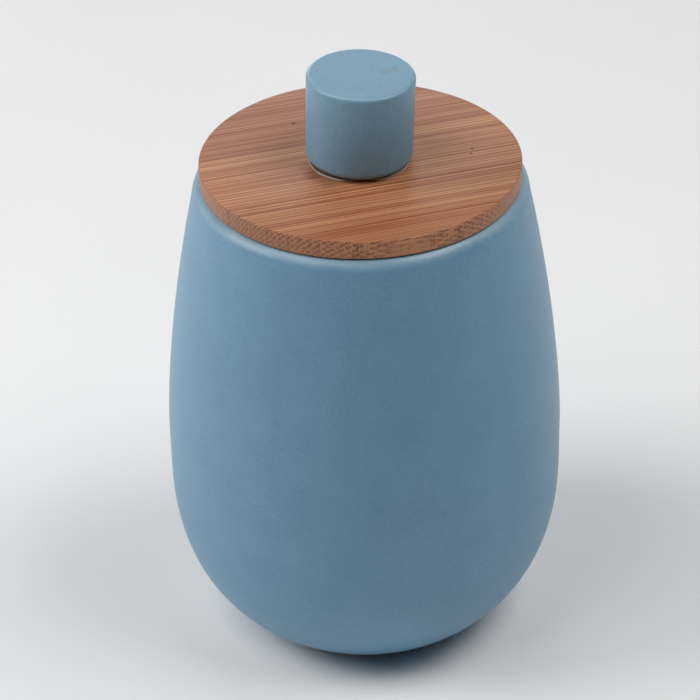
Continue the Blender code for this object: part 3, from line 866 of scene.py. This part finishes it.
def makeGlueBead(size):
    radius, innerR, flatR = box("knob_glue")["radius"], size["innerRadius"], size["flatRadius"]
    low = box("lid_disc")["top"] + size["glueGap"]
    high = box("knob")["bottom"] - size["glueGap"]
    toeR, toeMiddle = radius - size["toeRounding"], low + size["toeRounding"]
    outline = [(innerR, low), (innerR, high), (flatR, high)]
    for step in range(1, size["topRows"]):
        share = step / size["topRows"]
        outline.append((flatR + (toeR - flatR) * share,
                        high + (toeMiddle + size["toeRounding"] - high) * (1 - (1 - share) ** 2)))
    outline += arc(toeR, toeMiddle, size["toeRounding"], 90, size["toeTo"], size["toeFacets"])
    outline.append((radius - size["toeUnderside"], low))
    bm = turn(outline, size["steps"], closed=True)

    bearings = len(size["reaches"])

    def between(values, place):
        # a value between those of the two nearest bearings
        here, share = int(place) % bearings, ease(place % 1)
        return values[here] * (1 - share) + values[(here + 1) % bearings] * share

    # painted highlight on the toe, stronger at some bearings
    paleToe = bm.verts.layers.float.new("paleToe")
    for vert in bm.verts:
        away = Vector((vert.co.x, vert.co.y, 0))
        out = away.length / mm
        place = math.degrees(math.atan2(away.y, away.x)) % 360 / (360 / bearings)
        toeShare = (out - toeR) / size["toeRounding"]
        pale = (toeShare - size["paleFrom"]) / (size["paleTo"] - size["paleFrom"])
        vert[paleToe] = between(size["toeGlints"], place) * min(max(pale, 0.0), 1.0)
        reach = between(size["reaches"], place)
        reach += size["unevenness"] * noise.noise(away.normalized() * size["unevenRate"])
        at = innerR + (reach - innerR) * (out - innerR) / (radius - innerR)
        vert.co += away.normalized() * (at - out) * mm
    return finishPiece(bm, "glue_bead", [glue], "lid", "knob_glue")


makeGlueBead(bead)


# Floor: a plain pale sweep, matt, with the faintest unevenness so it isn't a flat colour. The
# lamps stand close, so the sweep glows a little beyond them, or it would fall dark.
sweep = {
    "halfSize": 12000.0, "cloudSize": 166.7, "dull": "F3F3F3", "dullAt": 0.3,
    "pale": "F7F7F7", "paleAt": 0.7, "roughness": 0.9,
    "glowFrom": 600.0, "glowTo": 1900.0, "glow": 0.7,
}


def makeFloor(size):
    bm = bmesh.new()
    bmesh.ops.create_grid(bm, x_segments=2, y_segments=2, size=size["halfSize"] * mm)
    mesh = bpy.data.meshes.new("floor")
    bm.to_mesh(mesh)
    bm.free()
    material, tree, shader = startMaterial("Matt white table")
    place = addNode(tree, "ShaderNodeTexCoord").outputs["Object"]
    cloudAndToeGlint = addNode(tree, "ShaderNodeTexNoise", {}, {
        "Vector": place, "Scale": 1 / (size["cloudSize"] * mm), "Detail": 2.0})
    tone = addNode(tree, "ShaderNodeValToRGB", {"stops": [
        (size["dullAt"], size["dull"]), (size["paleAt"], size["pale"])]}, {
        "Fac": cloudAndToeGlint.outputs["Fac"]})
    away = addNode(tree, "ShaderNodeVectorMath", {"operation": "LENGTH"}, {0: place})
    glow = addNode(tree, "ShaderNodeMapRange", {"interpolation_type": "SMOOTHSTEP"}, {
        "Value": away.outputs["Value"], "From Min": size["glowFrom"] * mm,
        "From Max": size["glowTo"] * mm, "To Min": 0.0, "To Max": size["glow"]})
    tree.links.new(glow.outputs["Result"], shader.inputs["Emission Strength"])
    tree.links.new(tone.outputs["Color"], shader.inputs["Base Color"])
    shader.inputs["Emission Color"].default_value = linearColour(size["pale"])
    shader.inputs["Roughness"].default_value = size["roughness"]
    mesh.materials.append(material)
    floor = bpy.data.objects.new("floor", mesh)
    bpy.context.scene.collection.objects.link(floor)


makeFloor(sweep)
print("floor made")


# Light: tall soft boxes at both sides, leaning in overhead, and a low one behind. Each is given
# by its bearing from +X, its height angle, its size in metres and its power in watts.
studio = {
    "aimHeight": 80.0, "distance": 1000.0, "worldStrength": 0.01,
    "lamps": {
        "left, high": {"bearing": 206, "height": 60, "size": (0.75, 0.45), "power": 3.3},
        "left": {"bearing": 184, "height": 35, "size": (0.50, 0.42), "power": 3.55},
        "left, low": {"bearing": 160, "height": 12, "size": (0.90, 0.42), "power": 1.75},
        "right, high": {"bearing": 346, "height": 60, "size": (0.60, 0.45), "power": 4.4},
        "right": {"bearing": 20, "height": 35, "size": (0.60, 0.42), "power": 0.85},
        "right, low": {"bearing": 35, "height": 10, "size": (0.80, 0.42), "power": 0.6},
        "behind": {"bearing": 95, "height": 17, "size": (0.60, 0.60), "power": 2.15},
    },
}


def makeLights(rig):
    aim = Vector((0, 0, rig["aimHeight"])) * mm
    for name, lamp in rig["lamps"].items():
        bearing, height = math.radians(lamp["bearing"]), math.radians(lamp["height"])
        away = Vector((math.cos(bearing) * math.cos(height), math.sin(bearing) * math.cos(height),
                       math.sin(height)))
        data = bpy.data.lights.new(name, "AREA")
        data.shape = "RECTANGLE"
        data.size, data.size_y = lamp["size"]
        data.energy = lamp["power"]
        light = bpy.data.objects.new(name, data)
        light.location = aim + away * rig["distance"] * mm
        light.rotation_euler = (-away).to_track_quat("-Z", "Y").to_euler()
        bpy.context.scene.collection.objects.link(light)
    world = bpy.data.worlds.new("studio")
    world.use_nodes = True
    background = world.node_tree.nodes["Background"]
    background.inputs["Color"].default_value = (1, 1, 1, 1)
    background.inputs["Strength"].default_value = rig["worldStrength"]
    bpy.context.scene.world = world
    bpy.context.scene.view_settings.view_transform = "Standard"


makeLights(studio)
print("lights made")


# Camera: a long lens looking down at the front, as the photograph was taken.
view = {"target": (-3.41, 0.0, 74.96), "distance": 755.0, "down": 33.17, "roll": -1.146,
        "lens": 153.6}


def makeCamera(shot):
    target = Vector(shot["target"]) * mm
    down = math.radians(shot["down"])
    back = Vector((0, -math.cos(down), math.sin(down))) * shot["distance"] * mm
    data = bpy.data.cameras.new("camera")
    data.lens = shot["lens"]
    camera = bpy.data.objects.new("camera", data)
    camera.location = target + back
    aim = (-back).to_track_quat("-Z", "Y")
    camera.rotation_euler = (aim @ Quaternion((0, 0, 1), math.radians(shot["roll"]))).to_euler()
    bpy.context.scene.collection.objects.link(camera)
    bpy.context.scene.camera = camera


makeCamera(view)
print("camera made")
